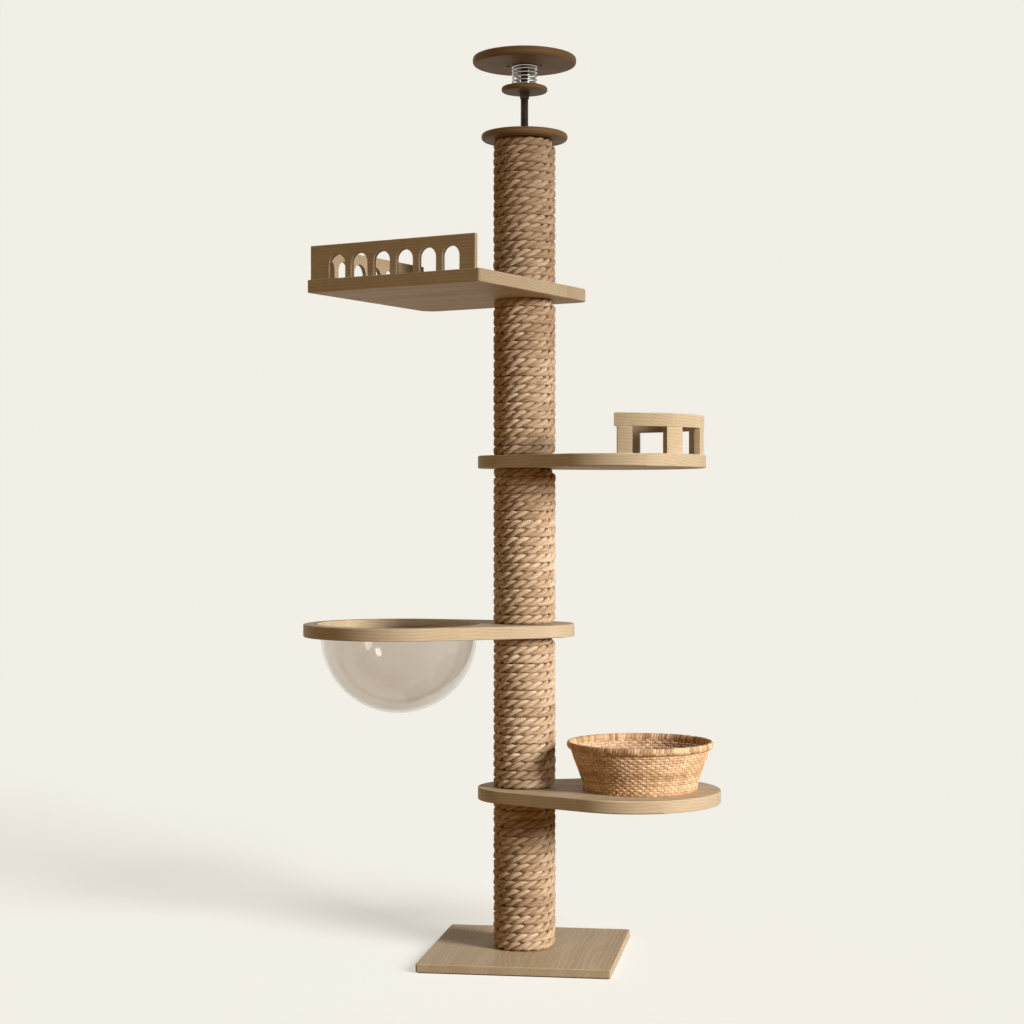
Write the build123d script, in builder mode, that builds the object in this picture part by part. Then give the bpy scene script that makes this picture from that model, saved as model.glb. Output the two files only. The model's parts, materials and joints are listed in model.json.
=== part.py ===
from build123d import *
import os
from math import cos, radians, sin

os.makedirs("parts", exist_ok=True)

# A floor-to-ceiling cat tree. The origin is on the pole's axis, at the floor, and +Z is up.
# The base board's edges run along X and Y, and its front edge faces -Y.
# All sizes are in millimetres and all angles in degrees.

# Pole: a tube wound with rope, cut into lengths that the boards are clamped between
POLE_R = 75.0            # outside of the rope
TUBE_R = 55.0            # outside of the tube, so the rope is 20 thick
TUBE_WALL = 4.0
PLUG_T = 28.0            # plug in each end of a tube
PLUG_GAP = 0.2           # plug to tube wall, filled with glue

# Boards
BOARD_T = 30.0           # the four shelves
EDGE_FILLET = 2.5        # softened edges of every board
BASE_SIDE = 456.0
BASE_T = 20.0
BASE_CORNER_R = 5.0
BASE_SHIFT = 6.0         # the base's centre is this far to the right of the pole's axis
MAT_T = 2.0              # anti-slip sheet under the base
MAT_INSET = 4.0
BASE_BOLT_HEAD_R = 8.5   # the bolt head and its washer are sunk into the base from below
BASE_BOLT_HEAD_T = 6.4
BASE_WASHER_R = 15.0
BASE_WASHER_T = 2.0

# Heights of the undersides of the boards
BASKET_Z = 378.0
BOWL_Z = 771.0
RAIL_Z = 1175.0
PLATFORM_Z = 1581.0
CAP_Z = 1966.0

# Directions in which the boards point from the pole, as set up; each can be turned round the pole
BASKET_ANGLE = -3.0
BOWL_ANGLE = 189.4
RAIL_ANGLE = -1.9
PLATFORM_ANGLE = -21.9   # the way the platform's right side faces

# Connecting studs and their inserts
STUD_R = 5.0
STUD_REACH = 26.0        # into the tube on each side of a board
STUD_CLEARANCE = 0.05    # stud to the bore of the board that turns on it
INSERT_R = 8.0
INSERT_FLANGE_R = 12.0
INSERT_FLANGE_T = 2.0
INSERT_SHORT = 1.0       # an insert stops this far short of its plug's outer face
STUD_CHAMFER = 1.0
THREAD_GAP = 0.1         # stud to insert

# Lowest shelf and its basket
BASKET_SHELF_POLE_R = 112.5
BASKET_SHELF_END_R = 212.5
BASKET_REACH = 262.0     # pole to the centre of the shelf's wide end
BASKET_OFFSET = 20.0     # basket centre, beyond the centre of the wide end
BASKET_WALL = 8.0
# Radius and height of points on the outside of the basket's wall, from its foot to the middle of its rim
BASKET_WALL_POINTS = ((138.0, 0.0), (152.5, 53.0), (164.5, 86.0), (169.5, 106.5))
RIM_HALF_W = 6.5         # the wrapped rim is an upright oval in section
RIM_HALF_H = 9.5
RIM_TILT = 20.0          # outwards from upright
RIM_INSET = 1.0          # middle of the rim, in from the outside of the wall
BASKET_SCREW_CIRCLE_R = 80.0
BASKET_SCREW_COUNT = 4
BASKET_SCREW_HEAD_R = 8.0
BASKET_SCREW_L = 26.0

# Second shelf: a ring that holds the bowl
RING_POLE_R = 121.0
RING_END_R = 229.5
RING_REACH = 302.6
RING_HOLE_R = 189.0
REBATE_R = 196.0
REBATE_DEPTH = 24.0      # from the top of the ring down to the seat of the bowl's lip
BOWL_R = 188.0
BOWL_WALL = 5.0
BOWL_CENTRE_Z = 774.0    # centre of the half-sphere
LIP_R = 195.0
LIP_T = 4.0

# Third shelf and its guard rail
RAIL_SHELF_POLE_R = 112.5
RAIL_SHELF_END_R = 210.0
RAIL_REACH = 228.3
GUARD_R = 205.0          # outer face of posts and top rail
GUARD_T = 15.0
POST_H = 62.0
TOP_RAIL_H = 31.0
TOP_RAIL_PROUD = 0.5     # past the faces of the posts
TOP_RAIL_FILLET = 2.0
POST_FILLET = 1.5
POST_W = 49.0
END_POST_W = 35.0
POST_ANGLES = (-78.0, -42.0, -5.0, 26.0, 54.0, 87.0)    # from the shelf's direction
GUARD_START = -85.0
GUARD_END = 94.0

# Top platform and its two arched fences, in the platform's own directions: right is +x, back is +y
PLATFORM_RIGHT = 118.0
PLATFORM_LEFT = -357.0
PLATFORM_FRONT = -395.0
PLATFORM_BACK = 118.0
PLATFORM_BACK_CORNER_R = 37.0
PLATFORM_FRONT_CORNER_R = 6.0
FENCE_T = 11.0
FENCE_H = 79.0
FENCE_INSET_FRONT = 5.0
FENCE_INSET_LEFT = 7.5
FENCE_FRONT_END = 102.0  # right end of the front fence
FENCE_SIDE_END = 73.0    # back end of the side fence
FENCE_JOINT_GAP = 0.3
FENCE_FILLET = 1.2
ARCH_COUNT = 6
ARCH_H = 55.0
FRONT_ARCH_W = 45.0
FRONT_ARCH_FIRST = -274.0
FRONT_ARCH_PITCH = 62.4
SIDE_ARCH_W = 48.0
SIDE_ARCH_FIRST = -334.0
SIDE_ARCH_PITCH = 64.5
SCREWED_FEET = (0, 2, 4) # the feet between arches that a screw goes up into

# Ceiling tensioner
CAP_R = 104.0
CAP_T = 17.0
CAP_FILLET = 7.0
CAP_INSERT_R = 14.0      # flanged metal insert that the rod turns in
CAP_INSERT_FLANGE_R = 22.0
CAP_INSERT_FLANGE_T = 1.5
ROD_R = 9.5
ROD_BOTTOM_Z = 1790.0    # the rod's lower end, inside the top tube
ROD_TOP_Z = 2072.0       # inside the flared nut
ROD_CHAMFER = 1.0
NUT_R = 14.0             # flared nut under the spring seat, hollow above the rod
NUT_LOW_R = 11.0
NUT_H = 16.0
SEAT_Z = 2083.5
SEAT_R = 55.5
SEAT_T = 12.5
SEAT_FILLET = 5.0
PLATE_Z = 2148.0
PLATE_R = 125.0
PLATE_T = 21.0
PLATE_FILLET = 8.0
PAD_T = 2.0              # soft pad on top of the ceiling plate
PAD_INSET = 14.0
SPRING_R = 31.0          # outside of the coils
SPRING_WIRE_R = 2.2
SPRING_TURNS = 5
SPRING_END_GAP = 0.1     # wire to the boards that the spring stands between
GUIDE_R = 8.5            # bolt inside the spring
GUIDE_BOTTOM_Z = 2086.0  # it ends inside the spring seat and slides down into the hollow nut
GUIDE_HEAD_R = 14.0
GUIDE_HEAD_T = 6.0
GUIDE_CLEARANCE = 0.05   # bolt to the bore of the spring seat
PLATE_SCREW_OFFSET = 40.0
PLATE_SCREW_L = 15.0
PLATE_SCREW_TAPER = 15.0

# Screws
SCREW_R = 2.0
SCREW_HEAD_R = 4.0
SCREW_HEAD_T = 2.5
SCREW_SUNK = 2.0
SCREW_L = 60.0
FENCE_SCREW_L = 50.0

BASE_TOP_Z = MAT_T + BASE_T
SECTION_STARTS = (BASE_TOP_Z, BASKET_Z + BOARD_T, BOWL_Z + BOARD_T, RAIL_Z + BOARD_T, PLATFORM_Z + BOARD_T)
SECTION_ENDS = (BASKET_Z, BOWL_Z, RAIL_Z, PLATFORM_Z, CAP_Z)
SHELF_LEVELS = (BASKET_Z, BOWL_Z, RAIL_Z, PLATFORM_Z)
BORE_R = STUD_R + STUD_CLEARANCE
BASE_POCKET_DEPTH = BASE_BOLT_HEAD_T + BASE_WASHER_T


def turned(angle, z, reach=0.0):
    """The level plane at height z whose x axis points at angle, with its origin reach out along it."""
    way = Vector(cos(radians(angle)), sin(radians(angle)), 0)
    return Plane(origin=way * reach + Vector(0, 0, z), x_dir=way, z_dir=(0, 0, 1))


def soften(board, radius):
    """Round the top and bottom edges of a flat board."""
    faces = board.faces().filter_by(Plane.XY)
    outer = [face.outer_wire().edges() for face in (faces.sort_by(Axis.Z)[0], faces.sort_by(Axis.Z)[-1])]
    fillet([edge for edges in outer for edge in edges], radius)


def tapered_shelf(z, angle, pole_radius, end_radius, reach):
    """A board whose outline is stretched round a small circle at the pole and a large one at its end."""
    with BuildPart() as shelf:
        with BuildSketch(turned(angle, z)):
            Circle(pole_radius)
            with Locations((reach, 0)):
                Circle(end_radius)
            make_hull()
        extrude(amount=BOARD_T)
        soften(shelf, EDGE_FILLET)
        with BuildSketch(Plane.XY.offset(z)):
            Circle(BORE_R)
        extrude(amount=BOARD_T, mode=Mode.SUBTRACT)
    return shelf.part


def screws_up(underside, places, length):
    """Screws driven up through a board, with their heads sunk into its underside."""
    with BuildPart() as screws:
        with BuildSketch(underside.offset(SCREW_SUNK)):
            with Locations(*places):
                Circle(SCREW_HEAD_R)
        extrude(amount=SCREW_HEAD_T)
        with BuildSketch(underside.offset(SCREW_SUNK)):
            with Locations(*places):
                Circle(SCREW_R)
        extrude(amount=length)
    return screws.part


# ---------------------------------------------------------------- base

with BuildPart() as base_mat:
    with BuildSketch(Plane.XY):
        with Locations((BASE_SHIFT, 0)):
            RectangleRounded(BASE_SIDE - 2 * MAT_INSET, BASE_SIDE - 2 * MAT_INSET, BASE_CORNER_R)
    extrude(amount=MAT_T)
base_mat.part.label = "base_mat"
export_step(base_mat.part, "parts/base_mat.step")

with BuildPart() as base_board:
    with BuildSketch(Plane.XY.offset(MAT_T)):
        with Locations((BASE_SHIFT, 0)):
            RectangleRounded(BASE_SIDE, BASE_SIDE, BASE_CORNER_R)
    extrude(amount=BASE_T)
    soften(base_board, EDGE_FILLET)
    with BuildSketch(Plane.XY.offset(MAT_T)):
        Circle(BASE_WASHER_R + PLUG_GAP)
    extrude(amount=BASE_POCKET_DEPTH, mode=Mode.SUBTRACT)
    with BuildSketch(Plane.XY.offset(MAT_T)):
        Circle(STUD_R + THREAD_GAP)
    extrude(amount=BASE_T, mode=Mode.SUBTRACT)
base_board.part.label = "base_board"
export_step(base_board.part, "parts/base_board.step")

with BuildPart() as base_washer:
    with BuildSketch(Plane.XY.offset(MAT_T + BASE_BOLT_HEAD_T)):
        Circle(BASE_WASHER_R)
        Circle(STUD_R + THREAD_GAP, mode=Mode.SUBTRACT)
    extrude(amount=BASE_WASHER_T)
base_washer.part.label = "base_washer"
export_step(base_washer.part, "parts/base_washer.step")

with BuildPart() as base_bolt:
    with BuildSketch(Plane.XY.offset(MAT_T)):
        RegularPolygon(BASE_BOLT_HEAD_R, 6)
    extrude(amount=BASE_BOLT_HEAD_T)
    with BuildSketch(Plane.XY.offset(MAT_T + BASE_BOLT_HEAD_T)):
        Circle(STUD_R)
    extrude(amount=BASE_T - BASE_BOLT_HEAD_T + STUD_REACH)
base_bolt.part.label = "base_bolt"
export_step(base_bolt.part, "parts/base_bolt.step")

# ---------------------------------------------------------------- pole

for number, (bottom, top) in enumerate(zip(SECTION_STARTS, SECTION_ENDS), start=1):
    with BuildPart() as pole_tube:
        with BuildSketch(Plane.XY.offset(bottom)):
            Circle(TUBE_R)
            Circle(TUBE_R - TUBE_WALL, mode=Mode.SUBTRACT)
        extrude(amount=top - bottom)
    pole_tube.part.label = f"pole_tube_{number}"
    export_step(pole_tube.part, f"parts/pole_tube_{number}.step")

    with BuildPart() as rope_wrap:
        with BuildSketch(Plane.XY.offset(bottom)):
            Circle(POLE_R)
            Circle(TUBE_R, mode=Mode.SUBTRACT)
        extrude(amount=top - bottom)
    rope_wrap.part.label = f"rope_wrap_{number}"
    export_step(rope_wrap.part, f"parts/rope_wrap_{number}.step")

    is_top = top == CAP_Z
    upper_bore = ROD_R + THREAD_GAP if is_top else INSERT_R
    with BuildPart() as tube_plugs:
        for level, bore in ((bottom, INSERT_R), (top - PLUG_T, upper_bore)):
            with BuildSketch(Plane.XY.offset(level)):
                Circle(TUBE_R - TUBE_WALL - PLUG_GAP)
                Circle(bore + THREAD_GAP, mode=Mode.SUBTRACT)
            extrude(amount=PLUG_T)
        for level, sunk in ((bottom, PLUG_T - INSERT_FLANGE_T), (top - PLUG_T, 0.0)):
            if is_top and level > bottom:
                continue
            with BuildSketch(Plane.XY.offset(level + sunk)):
                Circle(INSERT_FLANGE_R + PLUG_GAP)
            extrude(amount=INSERT_FLANGE_T, mode=Mode.SUBTRACT)
    tube_plugs.part.label = f"tube_plugs_{number}"
    export_step(tube_plugs.part, f"parts/tube_plugs_{number}.step")

# A threaded insert in each plug that a stud or the base bolt screws into, with its flange inside the tube
insert_levels = [(z, PLUG_T - INSERT_FLANGE_T, 0.0) for z in SECTION_STARTS]
insert_levels += [(z - PLUG_T, 0.0, INSERT_FLANGE_T) for z in SECTION_ENDS[:-1]]

with BuildPart() as plug_inserts:
    for level, flange, barrel in insert_levels:
        with BuildSketch(Plane.XY.offset(level + flange)):
            Circle(INSERT_FLANGE_R)
            Circle(STUD_R + THREAD_GAP, mode=Mode.SUBTRACT)
        extrude(amount=INSERT_FLANGE_T)
        with BuildSketch(Plane.XY.offset(level + barrel + (0.0 if barrel else INSERT_SHORT))):
            Circle(INSERT_R)
            Circle(STUD_R + THREAD_GAP, mode=Mode.SUBTRACT)
        extrude(amount=PLUG_T - INSERT_FLANGE_T - INSERT_SHORT)
plug_inserts.part.label = "plug_inserts"
export_step(plug_inserts.part, "parts/plug_inserts.step")

for number, level in enumerate(SHELF_LEVELS, start=1):
    with BuildPart() as shelf_stud:
        with BuildSketch(Plane.XY.offset(level - STUD_REACH)):
            Circle(STUD_R)
        extrude(amount=BOARD_T + 2 * STUD_REACH)
        chamfer(shelf_stud.edges().filter_by(GeomType.CIRCLE), STUD_CHAMFER)
    shelf_stud.part.label = f"shelf_stud_{number}"
    export_step(shelf_stud.part, f"parts/shelf_stud_{number}.step")

# ---------------------------------------------------------------- lowest shelf and basket

basket_shelf = tapered_shelf(
    BASKET_Z, BASKET_ANGLE, BASKET_SHELF_POLE_R, BASKET_SHELF_END_R, BASKET_REACH
)
basket_shelf.label = "basket_shelf"
export_step(basket_shelf, "parts/basket_shelf.step")

# The basket's section, from its axis outwards: floor, flaring wall and wrapped rim
basket_top = turned(BASKET_ANGLE, BASKET_Z + BOARD_T, BASKET_REACH + BASKET_OFFSET)
basket_section = Plane(origin=basket_top.origin, x_dir=basket_top.x_dir, z_dir=-basket_top.y_dir)
neck_radius, rim_height = BASKET_WALL_POINTS[-1]
foot_radius = BASKET_WALL_POINTS[0][0]

with BuildPart() as basket:
    with BuildSketch(basket_section):
        with BuildLine():
            outside = Spline(*BASKET_WALL_POINTS)
            inner_points = [(radius - BASKET_WALL, height) for radius, height in BASKET_WALL_POINTS[1:]]
            inside = Spline((foot_radius - BASKET_WALL, BASKET_WALL), *inner_points)
            Line(outside @ 1, inside @ 1)
            Polyline(inside @ 0, (0, BASKET_WALL), (0, 0), outside @ 0)
        make_face()
        with Locations((neck_radius - RIM_INSET, rim_height)):
            Ellipse(RIM_HALF_W, RIM_HALF_H, rotation=-RIM_TILT)
    revolve(axis=Axis(basket_top.origin, (0, 0, 1)))
basket.part.label = "basket"
export_step(basket.part, "parts/basket.step")

with BuildPart() as basket_screws:
    with BuildSketch(basket_top.offset(BASKET_WALL)):
        with PolarLocations(BASKET_SCREW_CIRCLE_R, BASKET_SCREW_COUNT, 45):
            Circle(BASKET_SCREW_HEAD_R)
    extrude(amount=SCREW_HEAD_T)
    with BuildSketch(basket_top.offset(BASKET_WALL)):
        with PolarLocations(BASKET_SCREW_CIRCLE_R, BASKET_SCREW_COUNT, 45):
            Circle(SCREW_R)
    extrude(amount=-BASKET_SCREW_L)
basket_screws.part.label = "basket_screws"
export_step(basket_screws.part, "parts/basket_screws.step")

# ---------------------------------------------------------------- ring shelf and bowl

ring_top = turned(BOWL_ANGLE, BOWL_Z + BOARD_T, RING_REACH)

with BuildPart() as bowl_shelf:
    with BuildSketch(turned(BOWL_ANGLE, BOWL_Z)):
        Circle(RING_POLE_R)
        with Locations((RING_REACH, 0)):
            Circle(RING_END_R)
        make_hull()
    extrude(amount=BOARD_T)
    soften(bowl_shelf, EDGE_FILLET)
    with BuildSketch(ring_top):
        Circle(RING_HOLE_R)
    extrude(amount=-BOARD_T, mode=Mode.SUBTRACT)
    with BuildSketch(ring_top):
        Circle(REBATE_R)
    extrude(amount=-REBATE_DEPTH, mode=Mode.SUBTRACT)
    with BuildSketch(Plane.XY.offset(BOWL_Z)):
        Circle(BORE_R)
    extrude(amount=BOARD_T, mode=Mode.SUBTRACT)
bowl_shelf.part.label = "bowl_shelf"
export_step(bowl_shelf.part, "parts/bowl_shelf.step")

LIP_Z = BOWL_Z + BOARD_T - REBATE_DEPTH
BOWL_INNER_R = BOWL_R - BOWL_WALL
bowl_centre = turned(BOWL_ANGLE, BOWL_CENTRE_Z, RING_REACH)
bowl_section = Plane(origin=bowl_centre.origin, x_dir=bowl_centre.x_dir, z_dir=-bowl_centre.y_dir)
LIP_RISE = LIP_Z - BOWL_CENTRE_Z

with BuildPart() as acrylic_bowl:
    with BuildSketch(bowl_section):
        with BuildLine():
            CenterArc((0, 0), BOWL_R, -90, 90)
            Polyline(
                (BOWL_R, 0),
                (BOWL_R, LIP_RISE),
                (LIP_R, LIP_RISE),
                (LIP_R, LIP_RISE + LIP_T),
                (BOWL_INNER_R, LIP_RISE + LIP_T),
                (BOWL_INNER_R, 0),
            )
            CenterArc((0, 0), BOWL_INNER_R, -90, 90)
            Line((0, -BOWL_INNER_R), (0, -BOWL_R))
        make_face()
    revolve(axis=Axis(bowl_centre.origin, (0, 0, 1)))
acrylic_bowl.part.label = "acrylic_bowl"
export_step(acrylic_bowl.part, "parts/acrylic_bowl.step")

# ---------------------------------------------------------------- guard rail shelf

rail_shelf = tapered_shelf(RAIL_Z, RAIL_ANGLE, RAIL_SHELF_POLE_R, RAIL_SHELF_END_R, RAIL_REACH)
rail_shelf.label = "rail_shelf"
export_step(rail_shelf, "parts/rail_shelf.step")

rail_deck = turned(RAIL_ANGLE, RAIL_Z + BOARD_T, RAIL_REACH)
GUARD_MIDDLE_R = GUARD_R - GUARD_T / 2
GUARD_INNER_R = GUARD_R - GUARD_T
GUARD_SWEEP = GUARD_END - GUARD_START

for number, angle in enumerate(POST_ANGLES, start=1):
    is_end = number in (1, len(POST_ANGLES))
    width = END_POST_W if is_end else POST_W
    with BuildPart() as guard_post:
        with BuildSketch(rail_deck):
            Circle(GUARD_R)
            Circle(GUARD_INNER_R, mode=Mode.SUBTRACT)
            with PolarLocations(GUARD_MIDDLE_R, 1, angle):
                Rectangle(2 * GUARD_T, width, mode=Mode.INTERSECT)
        extrude(amount=POST_H)
        fillet(guard_post.edges().filter_by(Axis.Z), POST_FILLET)
    guard_post.part.label = f"guard_post_{number}"
    export_step(guard_post.part, f"parts/guard_post_{number}.step")

guard_seats = [
    (GUARD_MIDDLE_R * cos(radians(angle)), GUARD_MIDDLE_R * sin(radians(angle))) for angle in POST_ANGLES
]
guard_screws = screws_up(rail_deck.offset(-BOARD_T), guard_seats, SCREW_L)
guard_screws.label = "guard_screws"
export_step(guard_screws, "parts/guard_screws.step")

with BuildPart() as guard_top_rail:
    with BuildSketch(rail_deck.offset(POST_H)):
        with BuildLine():
            outer_arc = CenterArc((0, 0), GUARD_R + TOP_RAIL_PROUD, GUARD_START, GUARD_SWEEP)
            inner_arc = CenterArc((0, 0), GUARD_INNER_R - TOP_RAIL_PROUD, GUARD_START, GUARD_SWEEP)
            Line(outer_arc @ 0, inner_arc @ 0)
            Line(outer_arc @ 1, inner_arc @ 1)
        make_face()
    extrude(amount=TOP_RAIL_H)
    soften(guard_top_rail, TOP_RAIL_FILLET)
guard_top_rail.part.label = "guard_top_rail"
export_step(guard_top_rail.part, "parts/guard_top_rail.step")

# ---------------------------------------------------------------- top platform and fences

deck = turned(PLATFORM_ANGLE, PLATFORM_Z)
deck_top = turned(PLATFORM_ANGLE, PLATFORM_Z + BOARD_T)
platform_centre = ((PLATFORM_LEFT + PLATFORM_RIGHT) / 2, (PLATFORM_FRONT + PLATFORM_BACK) / 2)

with BuildPart() as platform:
    with BuildSketch(deck):
        with Locations(platform_centre):
            Rectangle(PLATFORM_RIGHT - PLATFORM_LEFT, PLATFORM_BACK - PLATFORM_FRONT)
    extrude(amount=BOARD_T)
    uprights = platform.edges().filter_by(Axis.Z).sort_by(Axis(deck.origin, deck.y_dir))
    fillet(uprights[:2], PLATFORM_FRONT_CORNER_R)
    uprights = platform.edges().filter_by(Axis.Z).sort_by(Axis(deck.origin, deck.y_dir))
    fillet(uprights[-2:], PLATFORM_BACK_CORNER_R)
    soften(platform, EDGE_FILLET)
    with BuildSketch(deck):
        Circle(BORE_R)
    extrude(amount=BOARD_T, mode=Mode.SUBTRACT)
platform.part.label = "platform"
export_step(platform.part, "parts/platform.step")


def arched_fence(plane, start, end, first_arch, pitch, arch_width):
    """A fence board standing on plane's x axis, with a row of round-topped openings at its foot."""
    with BuildPart() as fence:
        with BuildSketch(plane):
            with Locations(((start + end) / 2, FENCE_H / 2)):
                Rectangle(end - start, FENCE_H)
            straight = ARCH_H - arch_width / 2
            for number in range(ARCH_COUNT):
                middle = first_arch + number * pitch
                with Locations((middle, straight / 2)):
                    Rectangle(arch_width, straight, mode=Mode.SUBTRACT)
                with Locations((middle, straight)):
                    Circle(arch_width / 2, mode=Mode.SUBTRACT)
        extrude(amount=FENCE_T)
        sides = fence.faces().filter_by(plane)
        rims = [edge for face in sides for edge in face.edges() if edge.center().Z > plane.origin.Z + FENCE_FILLET]
        fillet(rims, FENCE_FILLET)
    return fence.part


def fence_foot(way, across):
    """The upright plane on top of the deck whose x axis runs along way, with the fence growing along across."""
    return Plane(origin=deck_top.origin, x_dir=way, z_dir=across)


front_face = PLATFORM_FRONT + FENCE_INSET_FRONT
left_face = PLATFORM_LEFT + FENCE_INSET_LEFT
side_start = front_face + FENCE_T + FENCE_JOINT_GAP
# Both planes have z across the board and y straight up, so x runs right to left or front to back
front_plane = fence_foot(-deck.x_dir, deck.y_dir).offset(front_face)
side_plane = fence_foot(deck.y_dir, deck.x_dir).offset(left_face)

front_fence = arched_fence(
    front_plane,
    -FENCE_FRONT_END,
    -left_face,
    -FRONT_ARCH_FIRST - (ARCH_COUNT - 1) * FRONT_ARCH_PITCH,
    FRONT_ARCH_PITCH,
    FRONT_ARCH_W,
)
front_fence.label = "front_fence"
export_step(front_fence, "parts/front_fence.step")

side_fence = arched_fence(
    side_plane, side_start, FENCE_SIDE_END, SIDE_ARCH_FIRST, SIDE_ARCH_PITCH, SIDE_ARCH_W
)
side_fence.label = "side_fence"
export_step(side_fence, "parts/side_fence.step")

# Screws up into every second foot between a fence's arches
front_middle = front_face + FENCE_T / 2
side_middle = left_face + FENCE_T / 2
front_feet = [FRONT_ARCH_FIRST + (number + 0.5) * FRONT_ARCH_PITCH for number in SCREWED_FEET]
side_feet = [SIDE_ARCH_FIRST + (number + 0.5) * SIDE_ARCH_PITCH for number in SCREWED_FEET]
fence_seats = [(x, front_middle) for x in front_feet]
fence_seats += [(side_middle, y) for y in side_feet]
fence_screws = screws_up(deck, fence_seats, FENCE_SCREW_L)
fence_screws.label = "fence_screws"
export_step(fence_screws, "parts/fence_screws.step")

# ---------------------------------------------------------------- ceiling tensioner


def rounded_disc(z, radius, thickness, rounding, bore):
    """A round board with full soft edges and a hole on its axis."""
    with BuildPart() as disc:
        with BuildSketch(Plane.XY.offset(z)):
            Circle(radius)
        extrude(amount=thickness)
        fillet(disc.edges().filter_by(GeomType.CIRCLE), rounding)
        with BuildSketch(Plane.XY.offset(z)):
            Circle(bore)
        extrude(amount=thickness, mode=Mode.SUBTRACT)
    return disc.part


top_cap = rounded_disc(CAP_Z, CAP_R, CAP_T, CAP_FILLET, CAP_INSERT_R + PLUG_GAP)
top_cap.label = "top_cap"
export_step(top_cap, "parts/top_cap.step")

with BuildPart() as cap_insert:
    with BuildSketch(Plane.XY.offset(CAP_Z)):
        Circle(CAP_INSERT_R)
        Circle(ROD_R + STUD_CLEARANCE, mode=Mode.SUBTRACT)
    extrude(amount=CAP_T)
    with BuildSketch(Plane.XY.offset(CAP_Z + CAP_T)):
        Circle(CAP_INSERT_FLANGE_R)
        Circle(ROD_R + STUD_CLEARANCE, mode=Mode.SUBTRACT)
    extrude(amount=CAP_INSERT_FLANGE_T)
cap_insert.part.label = "cap_insert"
export_step(cap_insert.part, "parts/cap_insert.step")

with BuildPart() as tension_rod:
    with BuildSketch(Plane.XY.offset(ROD_BOTTOM_Z)):
        Circle(ROD_R)
    extrude(amount=ROD_TOP_Z - ROD_BOTTOM_Z)
    chamfer(tension_rod.edges().filter_by(GeomType.CIRCLE), ROD_CHAMFER)
tension_rod.part.label = "tension_rod"
export_step(tension_rod.part, "parts/tension_rod.step")

with BuildPart() as flared_nut:
    with BuildSketch(Plane.XZ):
        with BuildLine():
            Polyline((ROD_R, SEAT_Z - NUT_H), (NUT_LOW_R, SEAT_Z - NUT_H))
            Spline(
                (NUT_LOW_R, SEAT_Z - NUT_H),
                (NUT_R, SEAT_Z),
                tangents=[(0, 1), (1, 2)],
            )
            Polyline((NUT_R, SEAT_Z), (ROD_R, SEAT_Z), (ROD_R, SEAT_Z - NUT_H))
        make_face()
    revolve(axis=Axis.Z)
flared_nut.part.label = "flared_nut"
export_step(flared_nut.part, "parts/flared_nut.step")

spring_seat = rounded_disc(SEAT_Z, SEAT_R, SEAT_T, SEAT_FILLET, GUIDE_R + GUIDE_CLEARANCE)
spring_seat.label = "spring_seat"
export_step(spring_seat, "parts/spring_seat.step")

COIL_R = SPRING_R - SPRING_WIRE_R
COIL_START_Z = SEAT_Z + SEAT_T + SPRING_WIRE_R + SPRING_END_GAP
COIL_H = PLATE_Z - SPRING_WIRE_R - SPRING_END_GAP - COIL_START_Z

with BuildPart() as coil_spring:
    with BuildLine():
        coil = Helix(pitch=COIL_H / SPRING_TURNS, height=COIL_H, radius=COIL_R, center=(0, 0, COIL_START_Z))
    with BuildSketch(Plane(origin=coil @ 0, z_dir=coil % 0)):
        Circle(SPRING_WIRE_R)
    sweep(is_frenet=True)
coil_spring.part.label = "coil_spring"
export_step(coil_spring.part, "parts/coil_spring.step")

GUIDE_HEAD_Z = PLATE_Z + PLATE_T - GUIDE_HEAD_T

with BuildPart() as guide_bolt:
    with BuildSketch(Plane.XY.offset(GUIDE_BOTTOM_Z)):
        Circle(GUIDE_R)
    extrude(amount=GUIDE_HEAD_Z - GUIDE_BOTTOM_Z)
    with BuildSketch(Plane.XY.offset(GUIDE_HEAD_Z)):
        Circle(GUIDE_HEAD_R)
    extrude(amount=GUIDE_HEAD_T)
guide_bolt.part.label = "guide_bolt"
export_step(guide_bolt.part, "parts/guide_bolt.step")

with BuildPart() as ceiling_plate:
    with BuildSketch(Plane.XY.offset(PLATE_Z)):
        Circle(PLATE_R)
    extrude(amount=PLATE_T)
    fillet(ceiling_plate.edges().filter_by(GeomType.CIRCLE), PLATE_FILLET)
    with BuildSketch(Plane.XY.offset(PLATE_Z)):
        Circle(GUIDE_R + THREAD_GAP)
    extrude(amount=PLATE_T, mode=Mode.SUBTRACT)
    with BuildSketch(Plane.XY.offset(GUIDE_HEAD_Z)):
        Circle(GUIDE_HEAD_R + THREAD_GAP)
    extrude(amount=GUIDE_HEAD_T, mode=Mode.SUBTRACT)
ceiling_plate.part.label = "ceiling_plate"
export_step(ceiling_plate.part, "parts/ceiling_plate.step")

with BuildPart() as ceiling_pad:
    with BuildSketch(Plane.XY.offset(PLATE_Z + PLATE_T)):
        Circle(PLATE_R - PAD_INSET)
    extrude(amount=PAD_T)
ceiling_pad.part.label = "ceiling_pad"
export_step(ceiling_pad.part, "parts/ceiling_pad.step")

with BuildPart() as plate_screws:
    with BuildSketch(Plane.XY.offset(PLATE_Z)):
        with Locations((-PLATE_SCREW_OFFSET, 0), (PLATE_SCREW_OFFSET, 0)):
            Circle(SCREW_HEAD_R)
    extrude(amount=-SCREW_HEAD_T, taper=PLATE_SCREW_TAPER)
    with BuildSketch(Plane.XY.offset(PLATE_Z)):
        with Locations((-PLATE_SCREW_OFFSET, 0), (PLATE_SCREW_OFFSET, 0)):
            Circle(SCREW_R)
    extrude(amount=PLATE_SCREW_L)
plate_screws.part.label = "plate_screws"
export_step(plate_screws.part, "parts/plate_screws.step")
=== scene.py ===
import json
import math

import bpy
import numpy as np
from mathutils import Matrix, Vector

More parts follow.
